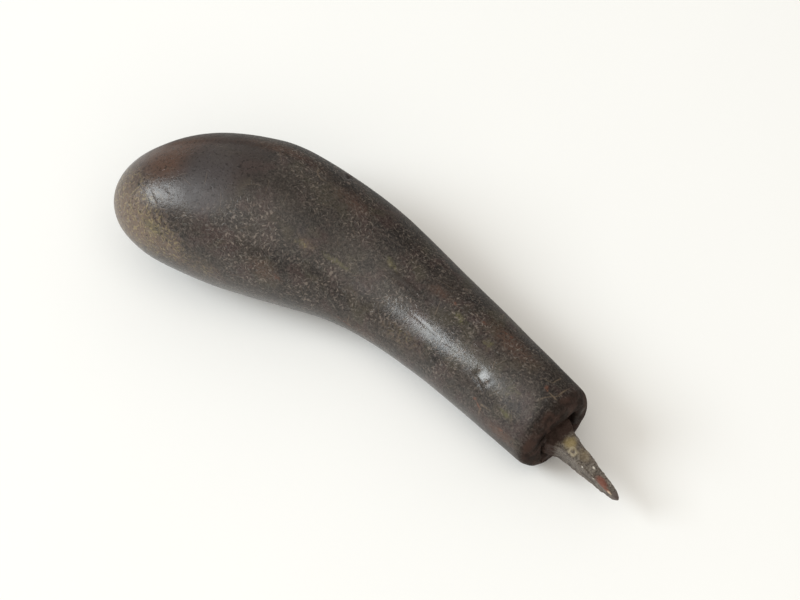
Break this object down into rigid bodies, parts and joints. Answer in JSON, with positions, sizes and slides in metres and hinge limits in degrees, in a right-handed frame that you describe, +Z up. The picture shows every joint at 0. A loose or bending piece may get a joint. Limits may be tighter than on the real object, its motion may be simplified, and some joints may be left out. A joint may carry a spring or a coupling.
{
  "type": "awl",
  "caption": "Palm-held awl: a bent, polished wooden handle with a swollen bulb, drawn into a neck that holds a short square iron spike in a socket, lying on its side.",
  "frame": {"origin": "on the plane the awl lies on, under the middle of its bounding box", "axes": "+X along the awl's length from the bulb to the spike, +Z up from the plane it lies on"},
  "size_m": [0.117, 0.0362, 0.0305],
  "materials": {
    "stained_wood": "nearly black-brown handled wood with a satin polish, short pale fibre flecks and olive and reddish blotches",
    "corroded_iron": "forged iron, grey-brown corroded skin with ochre and red rust patches"
  },
  "bodies": {
    "root": {"handle": "stained_wood", "blade": "corroded_iron"}
  },
  "joints": []
}
